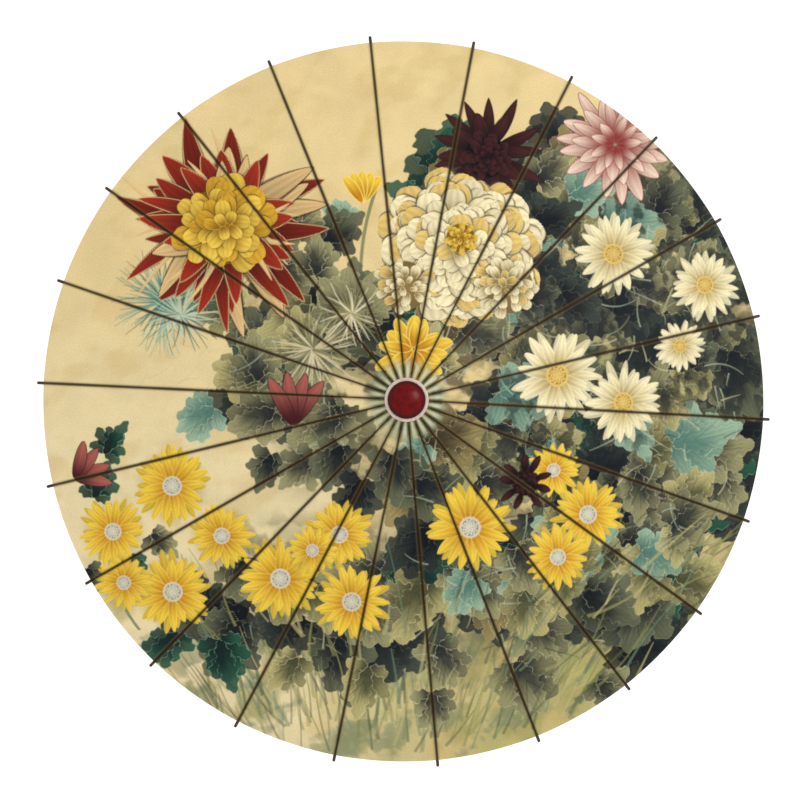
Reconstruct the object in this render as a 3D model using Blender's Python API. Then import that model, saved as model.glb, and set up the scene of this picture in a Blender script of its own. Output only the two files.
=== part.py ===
"""An oil paper umbrella, open, as separate pieces.

Metres. +Z is up along the shaft, and the origin is the middle of the flat end of the handle.
Each rib hangs from the head at a tangential pivot, and a stretcher joins it to the runner.
A stretcher is as long as its rib is from pivot to knuckle, so the two always make an
isosceles triangle with the shaft, and all the angles of the linkage keep fixed ratios.
"""

import math

import bmesh
import bpy
from mathutils import Matrix, Vector

MM = 0.001

# The ribs and the linkage.
RIB_COUNT = 22
FIRST_BEARING = math.radians(13.5)
HALF_GORE = math.pi / RIB_COUNT
HEAD_Z = 0.530  # height of the ribs' pivots
PIVOT_R = 18.0 * MM  # radius of the pivot circle in the head and in the runner
RIB_SLOPE = math.radians(20.0)  # below the horizontal
TIP_R = 417.2 * MM
RIB_LENGTH = (TIP_R - PIVOT_R) / math.cos(RIB_SLOPE)
LINK = 190.0 * MM  # rib pivot to stretcher pivot, and the length of a stretcher
KNUCKLE_DROP = 5.0 * MM  # from the bar's middle down to the stretcher's pivot
KNUCKLE_S = math.sqrt(LINK**2 - KNUCKLE_DROP**2)
LINK_SLOPE = RIB_SLOPE + math.atan2(KNUCKLE_DROP, KNUCKLE_S)
RUNNER_Z = HEAD_Z - 2 * LINK * math.sin(LINK_SLOPE)

# Sections of the bars.
RIB_HALF_W = 2.1 * MM
STRETCHER_HALF_W = 1.6 * MM
NECK_HALF_W = 1.2 * MM  # where a bar runs in a slot
TONGUE_HALF_W = 0.6 * MM
HALF_DEPTH = 1.6 * MM
CHAMFER = 0.35 * MM
CHEEK_IN, CHEEK_OUT = 0.9 * MM, 2.0 * MM
WIRE_R, WIRE_HOLE_R = 0.6 * MM, 0.85 * MM
PIN_R, PIN_HOLE_R = 0.9 * MM, 1.0 * MM
PIN_SIDES = 12
WIRE_SIDES = 8

# The turned pieces.
TURNED_SIDES = 44
FLANGE_R = 22.5 * MM
SLOT_IN_R, SLOT_HALF_W = 15.2 * MM, 1.5 * MM
SHAFT_R = 6.5 * MM
SHAFT_TOP = HEAD_Z - 0.3 * MM
SPIGOT_BORE_R = 3.3 * MM
RUNNER_FOOT = -30.5 * MM  # below the runner's pivots
PEG_Z = HEAD_Z - 20 * MM
PEG_R, PEG_HOLE_R = 1.4 * MM, 1.6 * MM

# The paper.
PAPER_R = 410.0 * MM
PAPER_HOLE_R = 23.2 * MM
COLLAR_R = 36.0 * MM
COLLAR_TOP = HEAD_Z + 4.2 * MM
PAPER_GAP = 0.3 * MM
PAPER_THICK = 0.4 * MM
STEPS_PER_GORE = 4

# The catch in the shaft.
CATCH_X, CATCH_Z = -2.0 * MM, RUNNER_Z - 64.2 * MM
CATCH_TOP = RUNNER_Z + RUNNER_FOOT - 0.4 * MM
CATCH_HALF_W, CATCH_SLOT_HALF_W = 1.0 * MM, 1.3 * MM

# Colour, roughness and metallic value of each material.
MATERIALS = {
    "oiled_paper": ((0.62, 0.50, 0.26), 0.45, 0.0),
    "bamboo": ((0.20, 0.11, 0.04), 0.45, 0.0),
    "bamboo_rod": ((0.40, 0.26, 0.10), 0.40, 0.0),
    "dark_wood": ((0.10, 0.04, 0.02), 0.35, 0.0),
    "hub_wood": ((0.34, 0.21, 0.09), 0.55, 0.0),
    "pale_ring": ((0.72, 0.60, 0.48), 0.40, 0.0),
    "red_lacquer": ((0.13, 0.004, 0.003), 0.20, 0.0),
    "brass": ((0.60, 0.42, 0.16), 0.30, 0.9),
    "wire": ((0.35, 0.34, 0.32), 0.35, 0.9),
}


def clear_scene():
    for obj in list(bpy.data.objects):
        bpy.data.objects.remove(obj, do_unlink=True)


def make_materials():
    for name, (colour, roughness, metallic) in MATERIALS.items():
        material = bpy.data.materials.new(name)
        material.use_nodes = True
        shader = material.node_tree.nodes["Principled BSDF"]
        shader.inputs["Base Color"].default_value = (*colour, 1)
        shader.inputs["Roughness"].default_value = roughness
        shader.inputs["Metallic"].default_value = metallic


def object_of(name, shape, material=None):
    """An object of a bmesh, with its faces turned out, and its round sides shaded smooth."""
    bmesh.ops.recalc_face_normals(shape, faces=shape.faces)
    mesh = bpy.data.meshes.new(name)
    shape.to_mesh(mesh)
    shape.free()
    mesh.shade_smooth()
    mesh.set_sharp_from_angle(angle=math.radians(35))
    if material:
        mesh.materials.append(bpy.data.materials[material])
    obj = bpy.data.objects.new(name, mesh)
    bpy.context.scene.collection.objects.link(obj)
    return obj


def turned(name, profile, material, sides=TURNED_SIDES):
    """A solid spun about Z from a closed profile of (radius, z) in millimetres."""
    shape = bmesh.new()
    corners = [shape.verts.new((radius * MM, 0, z * MM)) for radius, z in profile]
    edges = [shape.edges.new(pair) for pair in zip(corners, corners[1:])]
    if profile[0][0] or profile[-1][0]:
        edges.append(shape.edges.new((corners[-1], corners[0])))
    bmesh.ops.spin(
        shape,
        geom=corners + edges,
        axis=(0, 0, 1),
        cent=(0, 0, 0),
        angle=2 * math.pi,
        steps=sides,
        use_merge=True,
    )
    bmesh.ops.remove_doubles(shape, verts=shape.verts, dist=1e-6)
    return object_of(name, shape, material)


def plate(name, outline, low, high, material=None):
    """An outline of (x, z) extruded from y = low to y = high."""
    shape = bmesh.new()
    face = shape.faces.new([shape.verts.new((x, low, z)) for x, z in outline])
    raised = bmesh.ops.extrude_face_region(shape, geom=[face])["geom"]
    corners = [item for item in raised if isinstance(item, bmesh.types.BMVert)]
    bmesh.ops.translate(shape, verts=corners, vec=(0, high - low, 0))
    return object_of(name, shape, material)


def pin(name, x, z, radius, half_length, material=None):
    """A round pin along Y."""
    turns = [2 * math.pi * (k + 0.5) / PIN_SIDES for k in range(PIN_SIDES)]
    outline = [(x + radius * math.cos(t), z + radius * math.sin(t)) for t in turns]
    return plate(name, outline, -half_length, half_length, material)


def section(x, half_w):
    """The eight corners of a chamfered bar's section."""
    cut = min(CHAMFER, half_w / 3)
    w, d = half_w, HALF_DEPTH
    quarter = [(w, d - cut), (w - cut, d)]
    half = quarter + [(-y, z) for y, z in reversed(quarter)]
    return [Vector((x, y, z)) for y, z in half + [(-y, -z) for y, z in half]]


def bar(name, stations, material):
    """A chamfered bar along X, extruded through stations of (x, half width)."""
    shape = bmesh.new()
    face = shape.faces.new([shape.verts.new(p) for p in section(*stations[0])])
    for station in stations[1:]:
        face = bmesh.ops.extrude_discrete_faces(shape, faces=[face])["faces"][0]
        for corner, place in zip(face.verts, section(*station)):
            corner.co = place
    open_end = [edge for edge in shape.edges if edge.is_boundary]
    bmesh.ops.holes_fill(shape, edges=open_end)
    return object_of(name, shape, material)


def combine(obj, other, operation):
    """Apply an exact Boolean of obj with other, and remove other."""
    modifier = obj.modifiers.new("combine", "BOOLEAN")
    modifier.operation = operation
    modifier.solver = "EXACT"
    modifier.object = other
    graph = bpy.context.evaluated_depsgraph_get()
    made = bpy.data.meshes.new_from_object(obj.evaluated_get(graph))
    obj.modifiers.clear()
    obj.data = made
    bpy.data.objects.remove(other, do_unlink=True)


def cut_hole(obj, x, z, radius, half_length):
    combine(obj, pin("hole", x, z, radius, half_length), "DIFFERENCE")


def empty(name, location=(0, 0, 0), parent=None):
    obj = bpy.data.objects.new(name, None)
    bpy.context.scene.collection.objects.link(obj)
    obj.location = location
    obj.parent = parent
    return obj


def place(obj, parent, location=(0, 0, 0), turn_z=0.0, tilt_y=0.0):
    """Put obj under parent, tilted about its own Y and then turned about Z."""
    obj.parent = parent
    obj.location = location
    obj.rotation_mode = "XYZ"
    obj.rotation_euler = (0, tilt_y, turn_z)


def bearing(index):
    return FIRST_BEARING + 2 * HALF_GORE * index


def out_at(index, radius, z):
    """The point at that radius and height on a rib's bearing."""
    return Vector((radius * math.cos(bearing(index)), radius * math.sin(bearing(index)), z))


def knuckle_cheek(side):
    """One cheek of the fork under a rib that holds the stretcher's tongue."""
    half = ((3.4, -1.2), (2.4, -4.0), (2.1, -5.8), (1.2, -6.9))
    both = [(-x, z) for x, z in half] + [(x, z) for x, z in reversed(half)]
    outline = [(KNUCKLE_S + x * MM, z * MM) for x, z in both]
    low, high = sorted((side * CHEEK_IN, side * CHEEK_OUT))
    return plate("cheek", outline, low, high)


def make_rib():
    """A rib along X with its pivot at the origin."""
    rib = bar(
        "rib",
        [
            (-1.8 * MM, NECK_HALF_W),
            (9.0 * MM, NECK_HALF_W),
            (20.0 * MM, RIB_HALF_W),
            (RIB_LENGTH - 30.0 * MM, RIB_HALF_W),
            (RIB_LENGTH - 1.2 * MM, 1.7 * MM),
            (RIB_LENGTH, 1.2 * MM),
        ],
        "bamboo",
    )
    for side in (-1, 1):
        combine(rib, knuckle_cheek(side), "UNION")
    cut_hole(rib, KNUCKLE_S, -KNUCKLE_DROP, PIN_HOLE_R, 3 * MM)
    cut_hole(rib, 0, 0, WIRE_HOLE_R, 3 * MM)
    return rib


def make_stretcher():
    """A stretcher along X from its tongue, with its trunnion at the origin."""
    stretcher = bar(
        "stretcher",
        [
            (-1.8 * MM, TONGUE_HALF_W),
            (4.2 * MM, TONGUE_HALF_W),
            (5.0 * MM, STRETCHER_HALF_W),
            (LINK - 16.0 * MM, STRETCHER_HALF_W),
            (LINK - 9.0 * MM, NECK_HALF_W),
            (LINK + 1.8 * MM, NECK_HALF_W),
        ],
        "bamboo",
    )
    combine(stretcher, pin("trunnion", 0, 0, PIN_R, 1.9 * MM), "UNION")
    cut_hole(stretcher, LINK, 0, WIRE_HOLE_R, 3 * MM)
    return stretcher


def add_ribs_and_stretchers(root):
    """Each stretcher hangs from its rib, so that turning a rib carries it along."""
    rib, stretcher = make_rib(), make_stretcher()
    back_down = math.pi - LINK_SLOPE - RIB_SLOPE
    for index in range(RIB_COUNT):
        number = f"{index + 1:02d}"
        bar_above = bpy.data.objects.new(f"rib_{number}", rib.data)
        bar_below = bpy.data.objects.new(f"stretcher_{number}", stretcher.data)
        for obj in (bar_above, bar_below):
            bpy.context.scene.collection.objects.link(obj)
        place(bar_above, root, out_at(index, PIVOT_R, HEAD_Z), bearing(index), RIB_SLOPE)
        place(bar_below, bar_above, (KNUCKLE_S, 0, -KNUCKLE_DROP), 0, back_down)
    for prototype in (rib, stretcher):
        bpy.data.objects.remove(prototype, do_unlink=True)


def slot_cutter(low, high):
    """A wheel of boxes, one for each slot, from z = low to z = high."""
    shape = bmesh.new()
    size = Vector((FLANGE_R + 2 * MM - SLOT_IN_R, 2 * SLOT_HALF_W, high - low))
    middle = Vector((SLOT_IN_R + size.x / 2, 0, (low + high) / 2))
    for index in range(RIB_COUNT):
        box = Matrix.Rotation(bearing(index), 4, "Z") @ Matrix.Translation(middle)
        bmesh.ops.create_cube(shape, size=1, matrix=box @ Matrix.Diagonal((*size, 1)))
    return object_of("slots", shape)


def wire_ring(name, parent, z):
    """The ring of wire that the bars of one hub are threaded on."""
    turns = [2 * math.pi * (k + 0.5) / WIRE_SIDES for k in range(WIRE_SIDES)]
    radius, thick = PIVOT_R / MM, WIRE_R / MM
    profile = [(radius + thick * math.cos(t), thick * math.sin(t)) for t in turns]
    ring = turned(name, profile, "wire", 3 * RIB_COUNT)
    place(ring, parent, (-parent.location.x, -parent.location.y, z))


def add_head(root):
    head = turned(
        "head",
        [
            (6.9, -30),
            (10.4, -30),
            (11.5, -28.5),
            (11.5, -12),
            (14, -7.5),
            (14, -6),
            (22.5, -6),
            (22.5, -1),
            (16.9, -1),
            (16.9, 1),
            (22.5, 1),
            (22.5, 4),
            (21.5, 5),
            (3.3, 5),
            (3.3, 0),
            (6.9, 0),
        ],
        "hub_wood",
    )
    combine(head, slot_cutter(-8 * MM, 2.8 * MM), "DIFFERENCE")
    cut_hole(head, 0, PEG_Z - HEAD_Z, PEG_HOLE_R, 14 * MM)
    place(head, root, (0, 0, HEAD_Z))
    peg = pin("head_peg", 0, 0, PEG_R, 11.2 * MM, "bamboo")
    place(peg, root, (0, 0, PEG_Z))
    wire_ring("head_wire", root, HEAD_Z)


def add_runner(root):
    """The runner and its wire, under an empty on the first stretcher's pivot."""
    runner = turned(
        "runner",
        [
            (6.9, RUNNER_FOOT / MM),
            (10.8, RUNNER_FOOT / MM),
            (12, -29),
            (12, -24),
            (11, -22.5),
            (11, -12),
            (14, -7),
            (21.5, -5),
            (22.5, -4),
            (22.5, -1),
            (16.9, -1),
            (16.9, 1),
            (22.5, 1),
            (22.5, 6),
            (6.9, 6),
        ],
        "hub_wood",
    )
    combine(runner, slot_cutter(-2.8 * MM, 8 * MM), "DIFFERENCE")
    pivot = empty("runner_pivot", out_at(0, PIVOT_R, RUNNER_Z), root)
    place(runner, pivot, (-pivot.location.x, -pivot.location.y, 0))
    wire_ring("runner_wire", pivot, 0)


def add_shaft(root):
    """The shaft, with the spigot's hole below, the peg's hole above and the catch's slot."""
    radius, top = SHAFT_R / MM, SHAFT_TOP / MM
    bore = SPIGOT_BORE_R / MM
    profile = [(0, top), (radius, top), (radius, 4.2), (bore, 4.2), (bore, 16), (0, 16)]
    shaft = turned("shaft", profile, "bamboo_rod")
    cut_hole(shaft, 0, PEG_Z, PEG_HOLE_R, 14 * MM)
    low, high = CATCH_Z - 6 * MM, CATCH_TOP + 2.9 * MM
    outline = [(-9 * MM, low), (9 * MM, low), (9 * MM, high), (-9 * MM, high)]
    slot = plate("slot", outline, -CATCH_SLOT_HALF_W, CATCH_SLOT_HALF_W)
    combine(shaft, slot, "DIFFERENCE")
    cut_hole(shaft, CATCH_X, CATCH_Z, PIN_HOLE_R, 9 * MM)
    place(shaft, root)


def add_catch(root):
    """The sprung key whose nose holds up the open runner, and the pin it turns on."""
    top = CATCH_TOP - CATCH_Z
    outline = [
        (-1.9 * MM, -2.2 * MM),
        (1.9 * MM, -2.2 * MM),
        (2.6 * MM, 10 * MM),
        (8.0 * MM, top - 13 * MM),
        (11.6 * MM, top - 5 * MM),
        (11.6 * MM, top),
        (0.5 * MM, top),
        (-1.9 * MM, top - 6 * MM),
    ]
    catch = plate("catch", outline, -CATCH_HALF_W, CATCH_HALF_W, "brass")
    cut_hole(catch, 0, 0, PIN_HOLE_R, 3 * MM)
    place(catch, root, (CATCH_X, 0, CATCH_Z))
    place(pin("catch_pin", 0, 0, PIN_R, 5.6 * MM, "wire"), root, (CATCH_X, 0, CATCH_Z))


def add_handle(root):
    grip = turned(
        "handle_grip",
        [
            (6.9, 4.2),
            (9.6, 4.2),
            (11, 6.5),
            (11.6, 28),
            (10.4, 62),
            (10.8, 92),
            (11.6, 100),
            (11.2, 107),
            (9, 112),
            (6.9, 112),
        ],
        "dark_wood",
    )
    end = turned(
        "handle_end",
        [(0, 0), (9.6, 0), (10.6, 1), (10.6, 3.2), (10, 3.8), (3, 3.8), (3, 14), (0, 14)],
        "dark_wood",
    )
    place(grip, root)
    place(end, root)


def add_cap(root):
    ring = turned(
        "cap_ring",
        [(3.3, 5.3), (23.7, 5.3), (24.5, 6.1), (24.5, 7.5), (23.7, 8.3), (3.3, 8.3)],
        "pale_ring",
    )
    cap = turned(
        "cap",
        [
            (0, 18.5),
            (6, 18.0),
            (11.5, 16.5),
            (16, 14.1),
            (19, 11.6),
            (20.7, 9.7),
            (21, 8.6),
            (3, 8.6),
            (3, 0.4),
            (0, 0.4),
        ],
        "red_lacquer",
    )
    place(ring, root, (0, 0, HEAD_Z))
    place(cap, root, (0, 0, HEAD_Z))


def paper_height(radius, angle):
    """The underside of the paper, which is flat from one rib to the next."""
    along = radius * math.cos(angle) / math.cos(HALF_GORE)
    over_bar = (HALF_DEPTH + PAPER_GAP) / math.cos(RIB_SLOPE)
    return HEAD_Z + over_bar - (along - PIVOT_R) * math.tan(RIB_SLOPE)


def paper_ring(shape, radius, lift, level=None):
    """A ring of points on the paper, all at one height if level is given."""
    ring = []
    for index in range(RIB_COUNT):
        for step in range(STEPS_PER_GORE):
            angle = HALF_GORE * (2 * step / STEPS_PER_GORE - 1)
            turn = bearing(index) + HALF_GORE + angle
            z = lift + (paper_height(radius, angle) if level is None else level)
            point = (radius * math.cos(turn), radius * math.sin(turn), z)
            ring.append(shape.verts.new(point))
    return [shape.edges.new((a, b)) for a, b in zip(ring, ring[1:] + ring[:1])]


def add_canopy(root):
    """One thin shell of paper, with a collar that rises to the head."""
    shape = bmesh.new()
    loops = [
        paper_ring(shape, PAPER_HOLE_R, 0, COLLAR_TOP),
        paper_ring(shape, COLLAR_R, 0),
        paper_ring(shape, PAPER_R, 0),
        paper_ring(shape, PAPER_R, PAPER_THICK),
        paper_ring(shape, COLLAR_R, PAPER_THICK),
        paper_ring(shape, PAPER_HOLE_R, PAPER_THICK, COLLAR_TOP),
    ]
    for inner, outer in zip(loops, loops[1:] + loops[:1]):
        bmesh.ops.bridge_loops(shape, edges=inner + outer)
    place(object_of("canopy", shape, "oiled_paper"), root)


clear_scene()
make_materials()
umbrella = empty("umbrella")
add_shaft(umbrella)
add_handle(umbrella)
add_head(umbrella)
add_ribs_and_stretchers(umbrella)
add_runner(umbrella)
add_catch(umbrella)
add_cap(umbrella)
add_canopy(umbrella)
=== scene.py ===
"""The oil paper umbrella, seen from above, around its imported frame."""

import math

import bmesh
import bpy
import numpy as np
from mathutils import Euler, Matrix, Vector


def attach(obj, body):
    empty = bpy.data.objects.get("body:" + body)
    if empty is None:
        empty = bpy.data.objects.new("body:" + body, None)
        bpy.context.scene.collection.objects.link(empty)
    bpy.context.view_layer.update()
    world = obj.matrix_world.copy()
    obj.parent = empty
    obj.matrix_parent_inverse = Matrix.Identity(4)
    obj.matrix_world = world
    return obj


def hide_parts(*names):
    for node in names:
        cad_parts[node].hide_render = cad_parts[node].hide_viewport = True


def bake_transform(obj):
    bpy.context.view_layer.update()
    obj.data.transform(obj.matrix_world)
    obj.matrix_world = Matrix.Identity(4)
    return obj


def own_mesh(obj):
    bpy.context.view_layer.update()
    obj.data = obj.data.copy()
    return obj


MM = 0.001
ROOT = "umbrella"

# The layout of the frame.
RIBS = 22
HALF_GORE = math.pi / RIBS
FIRST_BEARING = math.radians(13.5)
HEAD_Z = 0.530
PIVOT_R = 18.0 * MM
SLOPE = math.radians(20.0)

# The paper.
PAPER_R = 410.0 * MM
COLLAR_R = 36.0 * MM
COLLAR_IN_R = 23.4 * MM
COLLAR_RISE = 8.7 * MM
PLEAT_HEIGHT = 0.7 * MM
PLEAT_FADES_R = 50.0 * MM
STRIP_HALF_W = 2.3 * MM
TOP_SPACING = 1.0 * MM
UNDER_SPACING = 2.8 * MM
OVER_PIVOT = 2.38 * MM
SAG = 1.2 * MM
SHEET_THICK = 0.3 * MM

SHARP_ANGLE = math.radians(40)

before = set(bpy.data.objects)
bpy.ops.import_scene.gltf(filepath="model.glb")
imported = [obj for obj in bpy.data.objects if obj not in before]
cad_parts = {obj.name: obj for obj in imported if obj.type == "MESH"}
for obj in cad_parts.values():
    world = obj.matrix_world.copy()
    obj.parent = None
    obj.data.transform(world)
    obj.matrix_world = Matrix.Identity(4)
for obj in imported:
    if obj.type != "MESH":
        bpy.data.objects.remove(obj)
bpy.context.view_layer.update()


def add_object(name, data):
    obj = bpy.data.objects.new(name, data)
    bpy.context.scene.collection.objects.link(obj)
    return obj


def add_smooth_object(name, mesh):
    """An object shaded smooth, apart from its sharp edges."""
    mesh.shade_smooth()
    mesh.set_sharp_from_angle(angle=SHARP_ANGLE)
    return add_object(name, mesh)


# ---------------------------------------------------------------- painting


def ink(red, green, blue):
    """A colour given as screen values from 0 to 255, in linear light."""
    c = np.array([red, green, blue], float) / 255
    return np.where(c <= 0.04045, c / 12.92, ((c + 0.055) / 1.055) ** 2.4)


def soft_step(low, high, values):
    """0 at low, 1 at high, smooth between. It falls instead where low is above high."""
    t = np.clip((values - low) / (high - low), 0, 1)
    return t * t * (3 - 2 * t)


def clouds(x, y, size, seed):
    """Smooth noise from 0 to 1 over points in millimetres, with features of about size."""
    rng = np.random.default_rng(seed)
    total = np.zeros_like(x)
    for octave in range(4):
        for _ in range(5):
            aim, phase = rng.random(2) * 2 * math.pi
            wave = size / 2**octave * (0.7 + 0.6 * rng.random())
            run = (x * math.cos(aim) + y * math.sin(aim)) * 2 * math.pi / wave
            bend = 1.4 * np.sin(run * 0.37 + phase * 2.1)
            total += np.sin(run + phase + bend) / 2**octave
    return np.clip(0.5 + total / 9.0, 0, 1)


def step_from(at, far, aim):
    """The point this far from another, in the direction aim."""
    return (at[0] + far * math.cos(aim), at[1] + far * math.sin(aim))


class Painting:
    """Colours laid on scattered points of the flat paper, in millimetres from its middle."""

    def __init__(self, points):
        self.order = np.argsort(points[:, 0])
        self.x = points[self.order, 0]
        self.y = points[self.order, 1]
        self.rgb = np.zeros((len(points), 3))

    def near(self, x, y, reach):
        """Numbers of the points in a square round x, y."""
        low, high = np.searchsorted(self.x, (x - reach, x + reach))
        return low + np.flatnonzero(abs(self.y[low:high] - y) < reach)

    def lay(self, index, colour, amount):
        """Cover the numbered points with a colour, by an amount from 0 to 1."""
        amount = np.asarray(amount)[:, None]
        self.rgb[index] = self.rgb[index] * (1 - amount) + colour * amount

    def wash(self, colour, amount):
        """Cover every point with a colour."""
        self.lay(slice(None), colour, amount)

    def colours(self):
        """The colours in the order that the points were given in."""
        back = np.empty_like(self.rgb)
        back[self.order] = self.rgb
        return np.clip(back, 0, 1)


SOFT_MM = 1.0  # how soft the edge of each shape is
PETAL_ROOT = 0.55  # how blunt a petal is at its root


def petal(
    art,
    at,
    aim,
    length,
    width,
    inks,
    bend=0.0,
    point=0.6,
    veins=2.0,
    edge=1.0,
    cover=1.0,
    fade=0.45,
    ragged=0.0,
):
    """One petal or leaf lobe from its root. inks are its colours at root, tip and edge.

    bend curves it sideways, point sharpens its tip, veins is how close its lines lie,
    edge is the width of its outline in mm, fade says how far along the root colour gives
    way, and ragged is how deep its teeth are.
    """
    x, y = at
    cos, sin = math.cos(aim), math.sin(aim)
    reach = length * (0.5 + abs(bend)) + width
    index = art.near(x + cos * length / 2, y + sin * length / 2, reach)
    dx, dy = art.x[index] - x, art.y[index] - y
    u = (dx * cos + dy * sin) / length
    v = dy * cos - dx * sin - bend * length * u * u
    inside = (u > 0) & (u < 1)
    index, u, v = index[inside], u[inside], v[inside]
    # The outline is widest at top, where the two powers multiply to peak.
    top = PETAL_ROOT / (PETAL_ROOT + point)
    peak = top**PETAL_ROOT * (1 - top) ** point
    half = width / 2 * u**PETAL_ROOT * (1 - u) ** point / peak
    teeth = np.sin(u * (0.5 * length + 4) + np.sign(v) * aim)
    half = half * (1 + ragged * teeth)
    depth = half - abs(v)
    across = v / np.maximum(half, 0.1)
    root, tip, rim = inks
    lit_side = math.copysign(1, cos - sin)
    shade = 1 + 0.10 * np.cos(across * math.pi * veins) + 0.10 * across * lit_side
    out = soft_step(fade - 0.4, fade + 0.4, u)[:, None]
    colour = (root + (tip - root) * out) * shade[:, None]
    line = soft_step(edge + SOFT_MM / 2, edge - SOFT_MM / 2, depth)[:, None]
    colour = colour * (1 - line) + rim * line
    art.lay(index, colour, cover * np.clip(depth / SOFT_MM + 0.5, 0, 1))


def stroke(art, start, end, width, colour, bend=0.0, cover=1.0, taper=0.7):
    """A brush stroke from start to end that thins towards its end."""
    (x0, y0), (x1, y1) = start, end
    length = math.hypot(x1 - x0, y1 - y0)
    cos, sin = (x1 - x0) / length, (y1 - y0) / length
    reach = length * (0.5 + abs(bend)) + width
    index = art.near((x0 + x1) / 2, (y0 + y1) / 2, reach)
    dx, dy = art.x[index] - x0, art.y[index] - y0
    u = (dx * cos + dy * sin) / length
    v = dy * cos - dx * sin - 4 * bend * length * u * (1 - u)
    half = width / 2 * (1 - taper * u)
    amount = np.clip((half - abs(v)) / SOFT_MM + 0.5, 0, 1) * ((u > 0) & (u < 1))
    art.lay(index, colour, cover * amount)


def disc(art, at, radius, inner, outer, cover=1.0):
    """A round dab that shades from inner to outer."""
    index = art.near(*at, radius + 2)
    far = np.hypot(art.x[index] - at[0], art.y[index] - at[1])
    share = soft_step(0, radius, far)[:, None]
    amount = cover * np.clip((radius - far) / SOFT_MM + 0.5, 0, 1)
    art.lay(index, inner * (1 - share) + outer * share, amount)


def ring_of_petals(art, at, count, inner, length, width, inks, rng, **kinds):
    """Petals all round a middle, with a little disorder."""
    turn = rng.random() * math.pi
    for k in rng.permutation(count):
        aim = turn + 2 * math.pi * (k + 0.35 * (rng.random() - 0.5)) / count
        root = step_from(at, inner, aim)
        long = length * (0.86 + 0.28 * rng.random())
        wide = width * (0.85 + 0.3 * rng.random())
        bend = 0.22 * (rng.random() - 0.5)
        petal(art, root, aim, long, wide, inks, bend=bend, **kinds)


DAISY_PETALS = 17
DAISY_PETAL = dict(point=0.6, edge=0.3)


def daisy(art, at, radius, inks, eye, rng):
    """An open single bloom with two rows of pointed petals and a stippled eye."""
    shadow = ink(46, 50, 40)
    index = art.near(*at, radius * 1.15)
    far = np.hypot(art.x[index] - at[0], art.y[index] - at[1])
    art.lay(index, shadow, 0.4 * soft_step(radius * 1.1, radius * 0.5, far))
    back = tuple(c * 0.78 for c in inks)
    wide = 2 * math.pi * radius * 0.6 / DAISY_PETALS * 1.1
    for length, row in ((radius - 2, back), (radius * 0.9, inks)):
        ring_of_petals(art, at, DAISY_PETALS, 2, length, wide, row, rng, **DAISY_PETAL)
    stippled_eye(art, at, radius * 0.2, eye, rng)


EYE_DOTS = 34
GOLDEN_TURN = 2.39996  # radians; steps of it spread dots or scales evenly over a disc


def stippled_eye(art, at, radius, eye, rng):
    """The dotted middle of an open bloom."""
    dark, light = eye
    disc(art, at, radius * 1.3, light, light * 1.05, 0.85)
    disc(art, at, radius, light, dark)
    for k in range(EYE_DOTS):
        far = radius * 0.95 * math.sqrt((k + 0.5) / EYE_DOTS)
        spot = step_from(at, far, GOLDEN_TURN * k)
        disc(art, spot, radius * 0.13, light * (0.8 + 0.5 * rng.random()), light)


# How petal() draws each scale of a globe, over a dark shape that sets it off.
SCALE_SHADOW = dict(point=0.3, veins=1.0, edge=0.1, cover=0.7)
SCALE_FRONT = dict(point=0.34, veins=3.0, edge=0.5, fade=0.5)
GLOBE_SQUASH = 0.92


def globe(art, at, radius, scales, inks, rng, size=0.42, tint=None):
    """A closed bloom of scale-like petals that curl in towards its middle."""
    root, tip, rim = inks
    disc(art, at, radius * 0.82, root, root * 0.7)
    for k in range(scales, 0, -1):
        share = math.sqrt(k / scales)
        aim = GOLDEN_TURN * k + 0.5 * (rng.random() - 0.5)
        far = radius * share * 0.84
        spot = (at[0] + far * math.cos(aim), at[1] + far * math.sin(aim) * GLOBE_SQUASH)
        long = radius * (0.5 + 0.5 * share) * size * (0.8 + 0.5 * rng.random())
        turn = aim + 1.1 * (rng.random() - 0.5)
        start = step_from(spot, -long * 0.5, turn)
        wide = long * (0.62 + 0.2 * rng.random())
        own = tip * (1.0 - 0.1 * share + 0.2 * (rng.random() - 0.5))
        if tint is not None and rng.random() < 0.3:
            own = tint * (0.9 + 0.2 * rng.random())
        petal(art, start, turn, long, wide * 1.15, (rim,) * 3, **SCALE_SHADOW)
        petal(art, start, turn, long, wide, (root, own, tip), **SCALE_FRONT)


# How petal() draws each ray of a flared bloom: its shadow, the ray, and its curled lip.
RAY_SHADOW = dict(point=0.8, veins=1.0, edge=0.4, cover=0.7)
RAY_FRONT = dict(point=0.72, veins=3.0, edge=0.9, fade=0.62)
RAY_LIP = dict(point=0.7, veins=1.0, edge=0.1)
# The share of the full radius, and the brightness, of each row of rays from the back.
RAY_ROWS = ((1.0, 0.55), (0.95, 0.8), (0.82, 1.0))
RAYS = 20  # in the row at the back


def flared(art, at, radius, inks, core, rng):
    """A big bloom: long pointed petals that show a paler back, round a tight globe."""
    dark, bright, pale = inks
    shadow = ink(40, 26, 22)
    for row, (share, dim) in enumerate(RAY_ROWS):
        turn = 0.21 * row
        count = RAYS - 4 * row
        for k in rng.permutation(count):
            aim = turn + 2 * math.pi * (k + 0.7 * (rng.random() - 0.5)) / count
            long = radius * share * (0.72 + 0.38 * rng.random())
            wide = radius * (0.15 + 0.10 * rng.random())
            bend = 0.6 * (rng.random() - 0.5)
            back = rng.random() < 0.14
            fill = (pale * 0.5, pale, dark) if back else (dark, bright * dim, pale * 0.9)
            petal(art, at, aim, long, wide * 1.2, (shadow,) * 3, bend, **RAY_SHADOW)
            petal(art, at, aim, long, wide, fill, bend, **RAY_FRONT)
            if not back and rng.random() < 0.6:
                curl = bend + 0.22 * math.copysign(1, bend)
                lip = (pale * 0.6, pale, pale)
                petal(art, at, aim, long * 0.96, wide * 0.3, lip, curl, **RAY_LIP)
    globe(art, at, radius * 0.46, 46, core, rng, size=0.55, tint=ink(206, 158, 46))


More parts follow.
